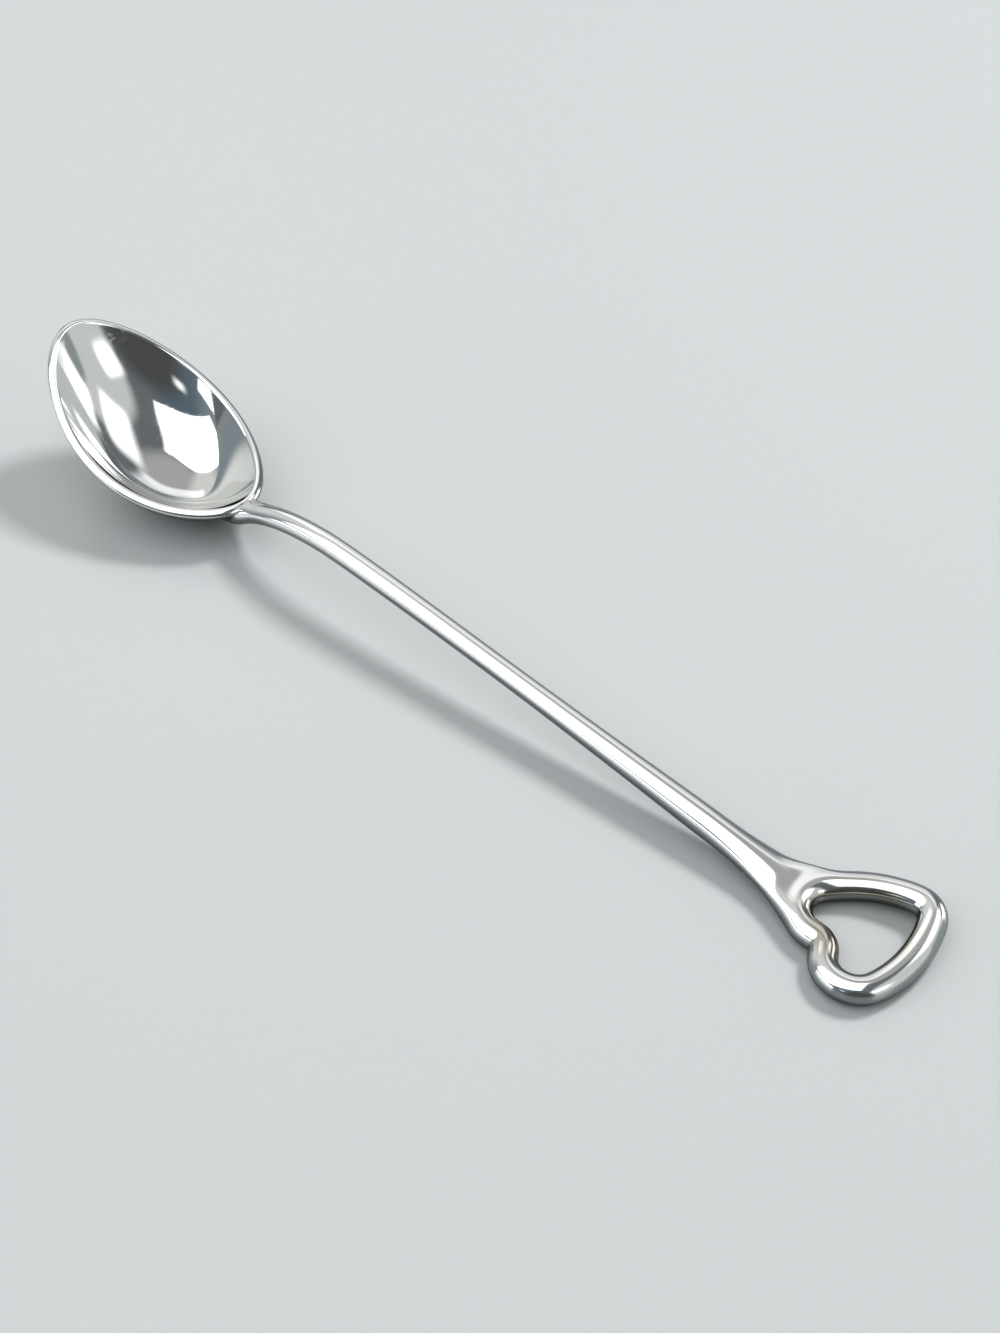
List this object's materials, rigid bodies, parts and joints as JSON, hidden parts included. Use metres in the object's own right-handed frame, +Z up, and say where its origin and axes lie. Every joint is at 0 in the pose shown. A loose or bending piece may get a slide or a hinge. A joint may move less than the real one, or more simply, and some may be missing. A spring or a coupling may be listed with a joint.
{
  "type": "teaspoon",
  "caption": "Small polished silver feeding-style teaspoon with a tilted egg-shaped bowl, a long slender stem and an open heart-shaped loop at the end.",
  "frame": {"origin": "on the table plane, under the middle of the overall length", "axes": "+X from the bowl's tip towards the loop, +Z up off the table, +Y across"},
  "size_m": [0.1448, 0.0234, 0.0195],
  "materials": {
    "silver": "mirror-polished sterling silver"
  },
  "bodies": {
    "root": {"bowl": "silver", "stem": "silver", "loop": "silver"}
  },
  "joints": []
}
